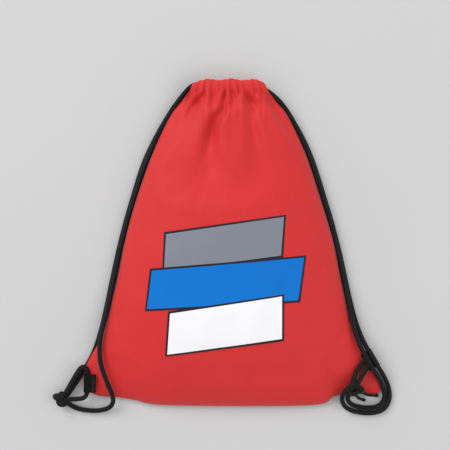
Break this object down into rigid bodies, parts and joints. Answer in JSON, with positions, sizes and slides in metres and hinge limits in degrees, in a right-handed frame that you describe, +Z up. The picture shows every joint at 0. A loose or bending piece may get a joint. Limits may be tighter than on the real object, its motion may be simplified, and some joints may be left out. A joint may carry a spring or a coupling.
{
  "type": "drawstring backpack",
  "caption": "Cloth drawstring backpack lying on its back, mouth gathered shut, with black braided cords down both sides, knotted at corner tabs.",
  "frame": {"origin": "on the floor under the middle of the two cloth panels, on the face that the bag lies on", "axes": "+X across the bag, +Y from the bottom seam to the gathered mouth, +Z up through the printed front"},
  "size_m": [0.4072, 0.4036, 0.0565],
  "materials": {
    "red_cloth": "plain woven polyester with a soft sheen",
    "red_thread": "polyester sewing thread",
    "black_cord": "round braided polyester cord",
    "black_webbing": "woven polyester webbing",
    "black_thread": "polyester sewing thread",
    "sealed_tip": "melted cord end",
    "dark_ink": "screen print",
    "grey_ink": "screen print",
    "blue_ink": "screen print",
    "white_ink": "screen print"
  },
  "bodies": {
    "root": {"front_panel": "red_cloth", "back_panel": "red_cloth", "front_casing": "red_cloth", "back_casing": "red_cloth", "front_casing_stitching": "red_thread", "back_casing_stitching": "red_thread", "left_side_seam_thread": "red_thread", "right_side_seam_thread": "red_thread", "bottom_seam_thread": "red_thread", "left_cord_in_casings": "black_cord", "right_cord_in_casings": "black_cord", "left_corner_tab": "black_webbing", "right_corner_tab": "black_webbing", "left_tab_stitching": "black_thread", "right_tab_stitching": "black_thread", "print_keyline": "dark_ink", "print_grey_bar": "grey_ink", "print_blue_bar": "blue_ink", "print_white_bar": "white_ink", "left_cord_front_strand": "black_cord", "left_cord_back_strand": "black_cord", "left_anchor_loop": "black_cord", "right_cord_front_strand": "black_cord", "right_cord_back_strand": "black_cord", "right_anchor_loop": "black_cord", "right_short_tail": "black_cord", "right_long_tail": "black_cord", "left_knot": "black_cord", "right_knot": "black_cord", "right_short_tail_tip": "sealed_tip", "right_long_tail_tip": "sealed_tip"}
  },
  "joints": []
}
